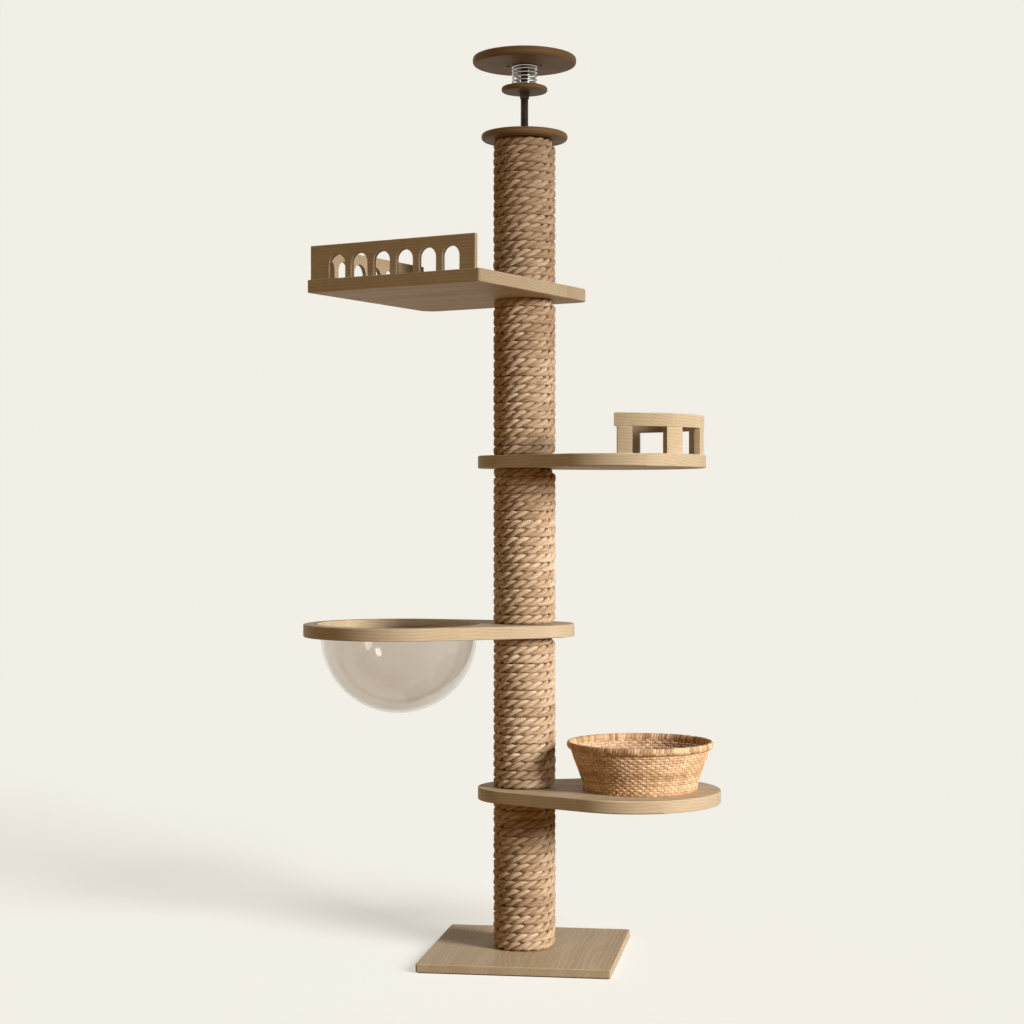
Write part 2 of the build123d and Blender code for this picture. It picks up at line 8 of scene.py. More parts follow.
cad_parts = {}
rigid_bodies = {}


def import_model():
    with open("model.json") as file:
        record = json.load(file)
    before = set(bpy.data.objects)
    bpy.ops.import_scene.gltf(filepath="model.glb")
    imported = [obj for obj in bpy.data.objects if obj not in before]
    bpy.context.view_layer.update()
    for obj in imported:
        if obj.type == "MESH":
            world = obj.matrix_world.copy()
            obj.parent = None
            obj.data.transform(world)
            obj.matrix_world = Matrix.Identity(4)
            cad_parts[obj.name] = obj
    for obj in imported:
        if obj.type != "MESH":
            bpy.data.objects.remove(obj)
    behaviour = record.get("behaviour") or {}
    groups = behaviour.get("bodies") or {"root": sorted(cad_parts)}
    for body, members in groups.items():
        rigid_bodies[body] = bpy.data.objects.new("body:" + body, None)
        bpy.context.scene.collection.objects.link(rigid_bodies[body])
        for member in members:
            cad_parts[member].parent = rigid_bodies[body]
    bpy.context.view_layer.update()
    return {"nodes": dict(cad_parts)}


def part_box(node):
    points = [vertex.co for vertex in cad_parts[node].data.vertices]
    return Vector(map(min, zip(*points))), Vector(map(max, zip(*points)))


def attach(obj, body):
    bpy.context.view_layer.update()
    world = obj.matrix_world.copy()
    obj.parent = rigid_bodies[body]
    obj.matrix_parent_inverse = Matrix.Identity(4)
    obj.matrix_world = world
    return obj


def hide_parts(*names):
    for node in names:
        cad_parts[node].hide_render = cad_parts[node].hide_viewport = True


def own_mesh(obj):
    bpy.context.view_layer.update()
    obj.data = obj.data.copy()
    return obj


# The looks of a floor-to-ceiling cat tree, built round its CAD model. Lengths are in metres.

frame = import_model()
nodes = frame["nodes"]
chance = np.random.default_rng(7)

MM = 0.001
TURN = 2 * math.pi

# Rope: three strands laid together, wound round the tube from board to board
ROPE_R = 11.0 * MM
ROPE_PITCH = 21.2 * MM      # one turn to the next
ROPE_SQUARE = 3.8           # how square the pressed turns are in section: 2 is round
ROPE_LAY = 74 * MM          # length along the rope of one turn of its strands
STRANDS = 3
STRAND_R = 0.47             # of the rope's radius
STRAND_OFFSET = 0.55
STRAND_SIDES = 10
STEPS_PER_LAY = 15
STEP_START = 0.62           # each turn lies level up to here and then climbs to the next, at the back
STEP_CREEP = 0.1            # of a turn's rise is spread over the whole turn
TAIL_R = 0.8 * MM
ROPE_END_GAP = 0.5 * MM     # between the rope and the board that it ends at
FIBRES_PER_SECTION = 800
YARNS = 6.0                 # seen round each strand
YARN_TURNS = 95.0           # of the yarn pattern, per metre of rope

# Basket weave
STAKES = 96
ROW_PITCH = 6.0 * MM
WEAVER_HALF_HEIGHT = 2.9 * MM
WEAVER_HALF_DEPTH = 1.7 * MM
WEAVE_SWING = 0.9 * MM
STAKE_R = 1.2 * MM
FLOOR_SPOKES = 32
FLOOR_PITCH = 6.5 * MM
WRAPS = 150
RIM_HALF_W = 6.5 * MM
RIM_HALF_H = 9.5 * MM
RIM_TILT = math.radians(20)
RIM_INSET = 1.0 * MM
CANE_HALF_T = 0.75 * MM
BASKET_WALL = 8 * MM
BASKET_HEIGHTS = np.array([0.0, 53.0, 86.0, 106.5]) * MM      # from its foot to the middle of its rim
BASKET_RADII = np.array([138.0, 152.5, 164.5, 169.5]) * MM    # outside of the wall at those heights
BASKET_NECK_Z = BASKET_HEIGHTS[-1]

BOWL_REFLECTION_SPOT = (-0.38, 0.08, 0.66)      # where the painted reflection, a darker patch in the bowl, is strongest
OAK_CONTRAST = 0.75                   # of the grain, against full strength

# Camera
VIEW_ANGLE = math.radians(8)
CAMERA_PLACE = (0.7202, -4.769, 1.0640)
CAMERA_LENS = 70.19
CAMERA_SHIFT = (-0.0322, 0.00234)

# Light
KEY_AZIMUTH = VIEW_ANGLE + math.radians(46)
KEY_ELEVATION = math.radians(25)
KEY_STRENGTH = 4.4          # lights the floor only
KEY_SOFTNESS = math.radians(26)
KEY_COLOUR = (1.0, 1.02, 1.06)
BEAM_STRENGTH = 4.1         # lights the object only, and fades out towards the ceiling
BEAM_AZIMUTH = VIEW_ANGLE + math.radians(54)
BEAM_DISTANCE = 7.0
BEAM_AIM_Z = -0.6
BEAM_HALF_ANGLE = math.radians(21.9)
BEAM_EDGE = 0.21
BEAM_RADIUS = 1.0
SIDE_AZIMUTH = VIEW_ANGLE - math.radians(85)
SIDE_ELEVATION = math.radians(10)
SIDE_STRENGTH = 0.32        # lights the object only
SIDE_COLOUR = (1.0, 0.94, 0.72)
SIDE_SOFTNESS = math.radians(60)
FILL = (0.096, 0.055, 0.018)
FLOOR_BOUNCE = (0.32, 0.19, 0.07)
SHADOW_SHARE = 0.35         # of the floor that takes shadow near the object; the rest glows
SHADOW_REACH = (3.0, 7.0)   # from the object, over which that share fades to none
WINDOW_AZIMUTH = VIEW_ANGLE + math.radians(38)
WINDOW_ELEVATION = math.radians(27)
WINDOW_DISTANCE = 6.0
WINDOW_SIZE = (0.9, 1.35)
WINDOW_BAR = 0.03           # between its two panes
WINDOW_RADIANCE = 34.0


def tone(red, green, blue):
    """A colour as it looks on screen, 0 to 255 a channel, as the linear colour that shaders take."""
    return [((c / 255 + 0.055) / 1.055) ** 2.4 if c > 10 else c / 255 / 12.92 for c in (red, green, blue)]


CREAM = tone(242, 239, 230)


# ---------------------------------------------------------------- meshes


def new_object(name, mesh, material):
    piece = bpy.data.objects.new(name, mesh)
    bpy.context.scene.collection.objects.link(piece)
    mesh.materials.append(material)
    return piece


def tube_mesh(name, tubes):
    """One mesh of many closed tubes. Each tube has rings (n, k, 3), and along and shade, a value per ring."""
    points = []
    faces = []
    uvs = []
    shades = []
    first = 0
    for rings, along, shade in tubes:
        count, sides = rings.shape[:2]
        points.append(rings.reshape(-1, 3))
        shades.append(np.repeat(shade, sides))
        ring = np.arange(count - 1)[:, None] * sides
        side = np.arange(sides)[None, :]
        after = (side + 1) % sides
        quads = np.stack([ring + side, ring + after, ring + sides + after, ring + sides + side], axis=-1)
        faces.extend((quads.reshape(-1, 4) + first).tolist())
        low = np.broadcast_to(along[:-1, None], (count - 1, sides))
        high = np.broadcast_to(along[1:, None], (count - 1, sides))
        left = np.broadcast_to(side / sides, (count - 1, sides))
        right = left + 1 / sides
        corners = np.stack([low, left, low, right, high, right, high, left], axis=-1)
        uvs.append(corners.reshape(-1))
        faces.append(list(range(first + sides - 1, first - 1, -1)))
        faces.append(list(range(first + (count - 1) * sides, first + count * sides)))
        turn = np.arange(sides) / sides
        uvs.append(np.stack([np.full(sides, along[0]), turn[::-1]], axis=-1).reshape(-1))
        uvs.append(np.stack([np.full(sides, along[-1]), turn], axis=-1).reshape(-1))
        first += count * sides
    mesh = bpy.data.meshes.new(name)
    mesh.from_pydata(np.concatenate(points), [], faces)
    layer = mesh.uv_layers.new(name="strand")
    layer.data.foreach_set("uv", np.concatenate(uvs).astype(np.float32))
    attribute = mesh.attributes.new("shade", "FLOAT", "POINT")
    attribute.data.foreach_set("value", np.concatenate(shades).astype(np.float32))
    mesh.shade_smooth()
    mesh.set_sharp_from_angle(angle=math.radians(50))
    mesh.validate()
    return mesh


def rings_round(centres, first, second, half_first, half_second, sides):
    """Rings of points about centres, in the plane of the unit vectors first and second."""
    angles = np.arange(sides) * TURN / sides
    across = np.cos(angles)[None, :, None] * first[:, None, :] * np.reshape(half_first, (-1, 1, 1))
    up = np.sin(angles)[None, :, None] * second[:, None, :] * np.reshape(half_second, (-1, 1, 1))
    return centres[:, None, :] + across + up


def unit(vectors):
    return vectors / np.linalg.norm(vectors, axis=-1, keepdims=True)


def wander(values, size, *wavelengths):
    """A smooth wandering offset, up to about size, along values."""
    total = np.zeros_like(values)
    for wavelength in wavelengths:
        total += np.sin(values * TURN / wavelength + chance.uniform(0, TURN))
    return total * size / len(wavelengths)


def lathe_mesh(name, profile, centre, segments, sharp=35):
    """A closed form turned about the vertical through centre. The profile runs from the axis to the axis."""
    points = [(centre[0], centre[1], centre[2] + profile[0][1])]
    inner = profile[1:-1]
    for step in range(segments):
        angle = TURN * step / segments
        for radius, height in inner:
            x = centre[0] + radius * math.cos(angle)
            y = centre[1] + radius * math.sin(angle)
            points.append((x, y, centre[2] + height))
    points.append((centre[0], centre[1], centre[2] + profile[-1][1]))
    faces = []
    count = len(inner)
    last = len(points) - 1
    for step in range(segments):
        here = 1 + step * count
        there = 1 + (step + 1) % segments * count
        faces.append((0, there, here))
        for i in range(count - 1):
            faces.append((here + i, there + i, there + i + 1, here + i + 1))
        faces.append((here + count - 1, there + count - 1, last))
    mesh = bpy.data.meshes.new(name)
    mesh.from_pydata(points, [], faces)
    mesh.shade_smooth()
    mesh.set_sharp_from_angle(angle=math.radians(sharp))
    mesh.validate()
    return mesh


# ---------------------------------------------------------------- materials


class Shader:
    """Short calls that build one material's nodes."""

    def __init__(self, name):
        self.material = bpy.data.materials.new(name)
        self.material.use_nodes = True
        self.tree = self.material.node_tree
        self.bsdf = self.tree.nodes["Principled BSDF"]
        self.output = self.tree.nodes["Material Output"]

    def put(self, socket, value):
        if isinstance(value, bpy.types.NodeSocket):
            self.tree.links.new(value, socket)
        elif isinstance(value, (list, tuple)) and len(value) == 3 and socket.type == "RGBA":
            socket.default_value = (*value, 1)
        else:
            socket.default_value = value

    def node(self, kind, inputs=None, **settings):
        made = self.tree.nodes.new(kind)
        for key, value in settings.items():
            setattr(made, key, value)
        for key, value in (inputs or {}).items():
            self.put(made.inputs[key], value)
        return made

    def surface(self, **inputs):
        for key, value in inputs.items():
            self.put(self.bsdf.inputs[key.replace("_", " ")], value)

    def maths(self, operation, first, second=0.0, third=0.0):
        return self.node("ShaderNodeMath", {0: first, 1: second, 2: third}, operation=operation).outputs[0]

    def vectors(self, operation, first, second):
        return self.node("ShaderNodeVectorMath", {0: first, 1: second}, operation=operation).outputs[0]

    def band(self, value, low, high, start=0.0, end=1.0):
        """value taken smoothly from low..high to start..end."""
        inputs = {"Value": value, "From Min": low, "From Max": high, "To Min": start, "To Max": end}
        return self.node("ShaderNodeMapRange", inputs, interpolation_type="SMOOTHSTEP").outputs[0]

    def stretch(self, vector, scale, turn=0.0):
        inputs = {"Vector": vector, "Angle": turn}
        turned = self.node("ShaderNodeVectorRotate", inputs, rotation_type="Z_AXIS")
        inputs = {"Vector": turned.outputs[0], "Scale": scale}
        return self.node("ShaderNodeMapping", inputs).outputs[0]

    def noise(self, vector, scale, detail=2.0, roughness=0.5, distortion=0.0):
        inputs = {"Vector": vector, "Scale": scale, "Detail": detail}
        inputs.update({"Roughness": roughness, "Distortion": distortion})
        return self.node("ShaderNodeTexNoise", inputs).outputs[0]

    def mix(self, factor, first, second, blend="MIX"):
        made = self.node("ShaderNodeMix", data_type="RGBA", blend_type=blend)
        self.put(made.inputs[0], factor)
        self.put(made.inputs[6], first)
        self.put(made.inputs[7], second)
        return made.outputs[2]

    def ramp(self, factor, *stops):
        made = self.node("ShaderNodeValToRGB", {0: factor})
        elements = made.color_ramp.elements
        while len(elements) < len(stops):
            elements.new(0.5)
        for element, (place, colour) in zip(elements, stops):
            element.position = place
            element.color = (*colour, 1)
        return made.outputs[0]

    def bump(self, height, distance, strength=1.0):
        inputs = {"Height": height, "Distance": distance, "Strength": strength}
        return self.node("ShaderNodeBump", inputs).outputs[0]


def own_place(shader):
    """The position in the piece's own frame, which moves with the piece."""
    return shader.node("ShaderNodeTexCoord").outputs["Object"]


def oak(name, grain, box, light=(208, 187, 154), dark=(164, 136, 99), stave=47 * MM, seams=0.0):
    """Oiled oak panel glued up from staves that run along grain, an angle about the vertical, in degrees."""
    s = Shader(name)
    place = own_place(s)
    low, high = box
    along = s.stretch(place, (1, 1, 1), turn=-math.radians(grain))
    parts = s.node("ShaderNodeSeparateXYZ", {0: along})
    number = s.maths("FLOOR", s.maths("DIVIDE", parts.outputs[1], stave))
    pick = s.node("ShaderNodeTexWhiteNoise", {"W": number}, noise_dimensions="1D")
    within = s.maths("FRACT", s.maths("DIVIDE", parts.outputs[1], stave))
    stave_shift = s.vectors("MULTIPLY", pick.outputs["Color"], (3, 0.4, 0.2))
    shifted = s.vectors("ADD", along, stave_shift)
    sway = s.noise(s.stretch(shifted, (3.5, 9, 9)), 1.0, 2.0)
    sideways = {1: s.maths("MULTIPLY", sway, 0.035), 2: s.maths("MULTIPLY", sway, 0.02)}
    bend = s.node("ShaderNodeCombineXYZ", sideways).outputs[0]
    bent = s.vectors("ADD", shifted, bend)
    wave = {"Vector": s.stretch(bent, (0.05, 1, 1)), "Scale": 42.0, "Distortion": 3.0}
    wave.update({"Detail": 3.0, "Detail Scale": 1.4})
    rings = s.node("ShaderNodeTexWave", wave, wave_type="RINGS", rings_direction="X").outputs[1]
    broad = s.noise(s.stretch(shifted, (2.2, 22, 22)), 1.0, 5.0, 0.6)
    fine = s.noise(s.stretch(shifted, (22, 620, 620)), 1.0, 3.0, 0.65)
    pores = s.band(s.noise(s.stretch(shifted, (60, 1500, 1500)), 1.0, 1.0), 0.60, 0.72)
    amount = s.maths("MULTIPLY", rings, 0.34 * OAK_CONTRAST)
    amount = s.maths("ADD", amount, s.maths("MULTIPLY", broad, 0.55 * OAK_CONTRAST))
    amount = s.maths("ADD", amount, s.maths("MULTIPLY", fine, 0.22 * OAK_CONTRAST))
    amount = s.maths("ADD", amount, s.maths("MULTIPLY", pick.outputs["Value"], 0.26 * OAK_CONTRAST))
    colour = s.ramp(
        s.maths("SUBTRACT", amount, 0.14),
        (0.0, tone(*light)),
        (0.45, tone(*[(a * 0.6 + b * 0.4) for a, b in zip(light, dark)])),
        (1.0, tone(*dark)),
    )
    colour = s.mix(s.maths("MULTIPLY", pores, 0.35), colour, tone(*[c * 0.62 for c in dark]))
    joint = s.band(s.maths("MINIMUM", within, s.maths("SUBTRACT", 1.0, within)), 0.0, 0.012, 1.0, 0.0)
    colour = s.mix(s.maths("MULTIPLY", joint, seams), colour, tone(*[c * 0.7 for c in dark]))
    normal = s.node("ShaderNodeTexCoord").outputs["Normal"]
    across = s.node("ShaderNodeSeparateXYZ", {0: s.stretch(normal, (1, 1, 1), turn=-math.radians(grain))})
    end_grain = s.band(s.maths("ABSOLUTE", across.outputs[0]), 0.55, 0.95)
    colour = s.mix(s.maths("MULTIPLY", end_grain, 0.22), colour, tone(*[c * 0.72 for c in dark]))
    # Lighter along the top and bottom edges of the sides: edge wear, and a painted highlight where the
    # rounded edges catch the light.
    height = s.node("ShaderNodeSeparateXYZ", {0: place}).outputs[2]
    depth = s.maths("MINIMUM", s.maths("SUBTRACT", height, low[2]), s.maths("SUBTRACT", high[2], height))
    side = s.band(s.maths("ABSOLUTE", across.outputs[2]), 0.9, 0.6)
    near_edge = s.maths("MULTIPLY", s.band(depth, 0.0, 3.2 * MM, 1.0, 0.0), side)
    worn_edge_highlight = s.maths("MULTIPLY", near_edge, s.band(s.noise(place, 38.0, 3.0), 0.35, 0.65, 0.1, 0.4))
    colour = s.mix(worn_edge_highlight, colour, tone(*[min(255, c * 1.1) for c in light]))
    grime = s.band(s.noise(place, 5.0, 4.0, 0.6), 0.45, 0.8)
    colour = s.mix(s.maths("MULTIPLY", grime, 0.12), colour, tone(*[c * 0.6 for c in dark]))
    rough = s.maths("ADD", s.band(broad, 0.3, 0.7, 0.5, 0.62), s.maths("MULTIPLY", pores, 0.2))
    hollows = s.maths("ADD", pores, s.maths("MULTIPLY", joint, seams * 4))
    relief = s.maths("SUBTRACT", s.maths("MULTIPLY", fine, 0.5), hollows)
    s.surface(
        Base_Color=colour,
        Roughness=rough,
        Specular_IOR_Level=0.2,
        Normal=s.bump(relief, 0.25 * MM, 0.55),
    )
    return s.material


def strand_fibre(shader, count, lengthwise, twist):
    """Fine lines that run along a strand and turn slowly round it."""
    uv = shader.node("ShaderNodeUVMap", uv_map="strand").outputs[0]
    parts = shader.node("ShaderNodeSeparateXYZ", {0: uv})
    turned = shader.maths("ADD", parts.outputs[1], shader.maths("MULTIPLY", parts.outputs[0], twist))
    angle = shader.maths("MULTIPLY", turned, TURN)
    return shader.node(
        "ShaderNodeCombineXYZ",
        {
            0: shader.maths("MULTIPLY", parts.outputs[0], lengthwise),
            1: shader.maths("MULTIPLY", shader.maths("COSINE", angle), count),
            2: shader.maths("MULTIPLY", shader.maths("SINE", angle), count),
        },
    ).outputs[0]


def sisal():
    s = Shader("sisal_rope")
    place = own_place(s)
    shade = s.node("ShaderNodeAttribute", attribute_name="shade").outputs["Fac"]
    fibres = s.noise(strand_fibre(s, 2.6, 55.0, -26.0), 1.0, 3.0, 0.7)
    yarns = s.noise(strand_fibre(s, 1.0, 8.0, -26.0), 1.0, 2.0, 0.6)
    patches = s.noise(place, 9.0, 3.0, 0.6)
    uv = s.node("ShaderNodeSeparateXYZ", {0: s.node("ShaderNodeUVMap", uv_map="strand").outputs[0]})
    round_strand = s.maths("MULTIPLY", uv.outputs[1], YARNS)
    lay = s.maths("ADD", round_strand, s.maths("MULTIPLY", uv.outputs[0], YARN_TURNS))
    lay = s.maths("ADD", lay, s.maths("MULTIPLY", yarns, 1.2))
    # The grooves between the yarns are darkened in the colour: painted shade in the crevices. The same mask
    # also sinks them in the bump.
    groove_shade = s.band(s.maths("ABSOLUTE", s.maths("SUBTRACT", s.maths("FRACT", lay), 0.5)), 0.30, 0.5)
    mixed = s.maths("ADD", s.maths("MULTIPLY", fibres, 0.62), s.maths("MULTIPLY", yarns, 0.38))
    mixed = s.maths("SUBTRACT", mixed, s.maths("MULTIPLY", groove_shade, 0.16))
    mixed = s.maths("ADD", mixed, s.maths("MULTIPLY", s.maths("SUBTRACT", shade, 0.5), 0.30))
    mixed = s.maths("ADD", mixed, s.maths("MULTIPLY", s.maths("SUBTRACT", patches, 0.5), 0.35))
    colour = s.ramp(
        mixed,
        (0.22, tone(130, 96, 64)),
        (0.42, tone(190, 155, 117)),
        (0.58, tone(221, 193, 157)),
        (0.8, tone(241, 222, 192)),
    )
    relief = s.maths("ADD", s.maths("MULTIPLY", fibres, 0.6), s.maths("MULTIPLY", yarns, 0.5))
    relief = s.maths("SUBTRACT", relief, s.maths("MULTIPLY", groove_shade, 0.9))
    s.surface(
        Base_Color=colour,
        Roughness=s.band(fibres, 0.3, 0.7, 0.86, 0.7),
        Specular_IOR_Level=0.12,
        Sheen_Weight=0.15,
        Sheen_Roughness=0.6,
        Normal=s.bump(relief, 1.1 * MM, 0.8),
    )
    return s.material


def wicker():
    s = Shader("wicker_weave")
    place = own_place(s)
    shade = s.node("ShaderNodeAttribute", attribute_name="shade").outputs["Fac"]
    fibres = s.noise(strand_fibre(s, 2.2, 40.0, -1.0), 1.0, 3.0, 0.65)
    patches = s.noise(place, 60.0, 3.0, 0.6)
    mixed = s.maths("ADD", s.maths("MULTIPLY", fibres, 0.4), s.maths("MULTIPLY", shade, 0.45))
    mixed = s.maths("ADD", mixed, s.maths("MULTIPLY", s.maths("SUBTRACT", patches, 0.2), 0.4))
    colour = s.ramp(
        mixed,
        (0.2, tone(142, 101, 66)),
        (0.45, tone(197, 156, 114)),
        (0.62, tone(222, 185, 143)),
        (0.85, tone(240, 210, 168)),
    )
    s.surface(
        Base_Color=colour,
        Roughness=s.band(fibres, 0.3, 0.7, 0.72, 0.52),
        Specular_IOR_Level=0.12,
        Normal=s.bump(fibres, 0.5 * MM, 0.7),
    )
    return s.material


def smoky_acrylic():
    s = Shader("smoky_acrylic")
    place = own_place(s)
    scuffs = s.band(s.noise(s.stretch(place, (60, 60, 9)), 1.0, 4.0, 0.7), 0.55, 0.8, 0.0, 0.05)
    # The colour darkens in a patch round that spot: a painted reflection. The noise on top is the acrylic's
    # own cloudy tint.
    apart = s.node("ShaderNodeVectorMath", {0: place, 1: BOWL_REFLECTION_SPOT}, operation="DISTANCE")
    reflection_patch = s.band(apart.outputs["Value"], 0.05, 0.26, 0.75, 0.0)
    cloud = s.maths("ADD", reflection_patch, s.maths("MULTIPLY", s.noise(place, 6.0, 2.0), 0.4))
    s.surface(
        Base_Color=s.mix(cloud, tone(236, 232, 228), tone(217, 206, 196)),
        Roughness=s.maths("ADD", scuffs, 0.03),
        IOR=1.35,
        Transmission_Weight=1.0,
        Normal=s.bump(s.noise(place, 5.0, 0.0), 0.5 * MM, 0.1),
    )
    clear = s.node("ShaderNodeBsdfTransparent", {"Color": tone(214, 208, 200)})
    path = s.node("ShaderNodeLightPath")
    shaders = {0: path.outputs["Is Shadow Ray"], 1: s.bsdf.outputs[0], 2: clear.outputs[0]}
    both = s.node("ShaderNodeMixShader", shaders)
    s.tree.links.new(both.outputs[0], s.output.inputs[0])
    return s.material


def metal(name, light, dark, rough, scale=120.0):
    s = Shader(name)
    place = own_place(s)
    cloud = s.noise(place, scale, 4.0, 0.6)
    spots = s.noise(place, scale * 0.15, 3.0)
    s.surface(
        Base_Color=s.mix(s.band(spots, 0.35, 0.65), tone(*light), tone(*dark)),
        Metallic=1.0,
        Roughness=s.band(cloud, 0.3, 0.7, rough * 0.8, rough * 1.25),
        Normal=s.bump(cloud, 0.06 * MM, 0.4),
    )
    return s.material


def board_stock(name, light, dark, scale, rough=0.8):
    """Pressed board, card, rubber or felt: fine speckle and relief."""
    s = Shader(name)
    place = own_place(s)
    speckle = s.noise(place, scale, 4.0, 0.7)
    cloud = s.noise(place, scale * 0.05, 3.0)
    mixed = s.maths("ADD", s.maths("MULTIPLY", speckle, 0.6), s.maths("MULTIPLY", cloud, 0.4))
    s.surface(
        Base_Color=s.ramp(mixed, (0.3, tone(*dark)), (0.7, tone(*light))),
        Roughness=s.band(speckle, 0.3, 0.7, rough, rough - 0.12),
        Normal=s.bump(speckle, 0.3 * MM, 0.5),
    )
    return s.material


def give(material, *names):
    for name in names:
        for material_slot in nodes[name].material_slots:
            material_slot.material = material


def numbered(stem, count):
    return [f"{stem}_{number}" for number in range(1, count + 1)]


# ---------------------------------------------------------------- rope


def climb(part):
    """The rise within one turn, 0 to 1, after this part of the turn."""
    t = np.clip((part - STEP_START) / (1 - STEP_START), 0, 1)
    return STEP_CREEP * part + (1 - STEP_CREEP) * t * t * (3 - 2 * t)


def rope_path(turns, count, bottom, top, inner):
    """Centre, radius and outward direction of the rope along its turns, from board to board."""
    x = np.linspace(STEP_START - 1, turns, count)
    whole = np.floor(x)
    level = np.clip(whole + climb(x - whole), 0, turns - 1)
    swell = np.where(x < 0, climb(x + 1), np.where(x > turns - 1, 1 - climb(x - turns + 1), 1.0))
    radius = np.maximum(TAIL_R, ROPE_R * swell)
    pitch = (top - bottom - 2 * ROPE_R) / (turns - 1)
    height = bottom + ROPE_R + level * pitch
    height = np.where(x < 0, bottom + radius, np.where(x > turns - 1, top - radius, height))
    full = np.clip(swell * 3 - 2, 0, 1)
    height = height + wander(x, 0.9 * MM, 0.81, 0.37, 1.54, 2.85) * full
    angle = math.pi / 2 + x * TURN
    out = np.stack([np.cos(angle), np.sin(angle), np.zeros_like(angle)], axis=-1)
    reach = inner + radius + wander(x, 0.3 * MM, 0.59, 0.3) * full
    centre = out * reach[:, None]
    centre[:, 2] = height
    return centre, radius, out


def press_square(rings, centre, out, side, along):
    """Push round sections out towards the corners, as turns pressed against each other are."""
    spokes = rings - centre[:, None, :]
    a = np.sum(spokes * out[:, None, :], axis=-1)
    b = np.sum(spokes * side[:, None, :], axis=-1)
    c = np.sum(spokes * along[:, None, :], axis=-1)
    size = np.hypot(a, b) + 1e-9
    power = ROPE_SQUARE
    grow = (np.abs(a / size) ** power + np.abs(b / size) ** power) ** (-1 / power)
    moved = (a * grow)[..., None] * out[:, None, :] + (b * grow)[..., None] * side[:, None, :]
    return centre[:, None, :] + moved + c[..., None] * along[:, None, :]


def rope_strands(centre, radius, out, steps_along):
    """The three twisted strands of the rope whose centre line this is."""
    along = unit(np.gradient(centre, axis=0))
    side = np.cross(along, out)
    tubes = []
    for strand in range(STRANDS):
        phase = TURN * strand / STRANDS - TURN * steps_along / ROPE_LAY
        phase = phase + wander(steps_along, 0.12, 0.31, 0.13)
        swing = np.cos(phase)[:, None] * out + np.sin(phase)[:, None] * side
        line = centre + swing * (radius * STRAND_OFFSET)[:, None]
        forward = unit(np.gradient(line, axis=0))
        first = unit(swing - forward * np.sum(swing * forward, axis=-1, keepdims=True))
        second = np.cross(forward, first)
        thick = radius * STRAND_R * (1 + wander(steps_along, 0.06, 0.047, 0.113, 0.29))
        rings = rings_round(line, first, second, thick, thick * 1.04, STRAND_SIDES)
        rings = press_square(rings, centre, out, side, along)
        shade = 0.5 + wander(steps_along, 0.3, 0.9, 0.37, 1.7) + chance.uniform(-0.1, 0.1)
        tubes.append((rings, steps_along, shade))
    return tubes


def loose_fibres(centre, radius, out):
    """Fine fibres that stand a few millimetres off the rope."""
    tubes = []
    along = unit(np.gradient(centre, axis=0))
    for _ in range(FIBRES_PER_SECTION):
        i = int(chance.integers(40, len(centre) - 40))
        lean = chance.uniform(-1.1, 1.1)
        away = out[i] * math.cos(lean) + np.array([0, 0, 1]) * math.sin(lean)
        root = centre[i] + away * radius[i] * 0.9
        outward = away * chance.uniform(0.15, 0.6)
        lengthwise = along[i] * chance.choice([-1, 1])
        way = unit(outward + lengthwise + chance.normal(0, 0.25, 3))
        length = chance.uniform(5, 13) * MM
        t = np.linspace(0, 1, 4)[:, None]
        curl = unit(chance.normal(0, 1, 3)) * length * 0.25
        line = root + way * length * t + curl * t * t
        forward = unit(np.gradient(line, axis=0))
        first = unit(np.cross(forward, np.array([0.13, 0.41, 0.9])))
        thin = chance.uniform(0.11, 0.17) * MM * (1.15 - t[:, 0])
        rings = rings_round(line, first, np.cross(forward, first), thin, thin, 3)
        tubes.append((rings, t[:, 0] * length, np.full(4, 0.8)))
    return tubes


def wind_rope(number, material):
    node = f"rope_wrap_{number}"
    low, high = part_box(node)
    inner = high.x - 2 * ROPE_R
    bottom = low.z + ROPE_END_GAP
    top = high.z - ROPE_END_GAP
    turns = 1 + round((top - bottom - 2 * ROPE_R) / ROPE_PITCH)
    length = turns * TURN * (inner + ROPE_R)
    count = int(length / ROPE_LAY * STEPS_PER_LAY)
    centre, radius, out = rope_path(turns, count, bottom, top, inner)
    steps_along = np.concatenate([[0], np.cumsum(np.linalg.norm(np.diff(centre, axis=0), axis=-1))])
    tubes = rope_strands(centre, radius, out, steps_along) + loose_fibres(centre, radius, out)
    rope = new_object(f"rope_{number}", tube_mesh(f"rope_{number}", tubes), material)
    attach(rope, "pole")
    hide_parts(node)


# ---------------------------------------------------------------- basket


def wall_radius(height):
    """Outer radius of the basket's wall at height above its foot."""
    return np.polyval(np.polyfit(BASKET_HEIGHTS, BASKET_RADII, 3), height)


def hoop(radius, height, half_out, half_up, sides, shade):
    """A closed ring about the vertical: radius and height are arrays, one value per step round it."""
    count = len(radius)
    angle = np.linspace(0, TURN, count)
    out = np.stack([np.cos(angle), np.sin(angle), np.zeros(count)], axis=-1)
    up = np.tile([0.0, 0.0, 1.0], (count, 1))
    centre = out * radius[:, None] + up * height[:, None]
    half_out = np.broadcast_to(half_out, count)
    half_up = np.broadcast_to(half_up, count)
    rings = rings_round(centre, -out, up, half_out, half_up, sides)
    return rings, angle * float(np.mean(radius)), shade


def weave_row(height, parity, steps, stakes, swing, radius_of):
    angle = np.linspace(0, TURN, steps)
    slip = chance.uniform(-0.7, 0.7)
    wave = np.tanh(1.5 * np.cos(angle * stakes / 2 + slip)) / math.tanh(1.5)
    radius = radius_of + parity * swing * wave
    rise = height + np.round(chance.uniform(2, 5)) * 0.06 * MM * np.sin(angle * 3 + chance.uniform(0, TURN))
    level = chance.uniform(0.3, 0.7)
    piece = np.floor(angle / TURN * stakes / 2)
    spread = chance.uniform(-0.22, 0.22, int(stakes))
    shade = np.clip(level + spread[piece.astype(int) % int(stakes)], 0, 1)
    return radius, rise, shade


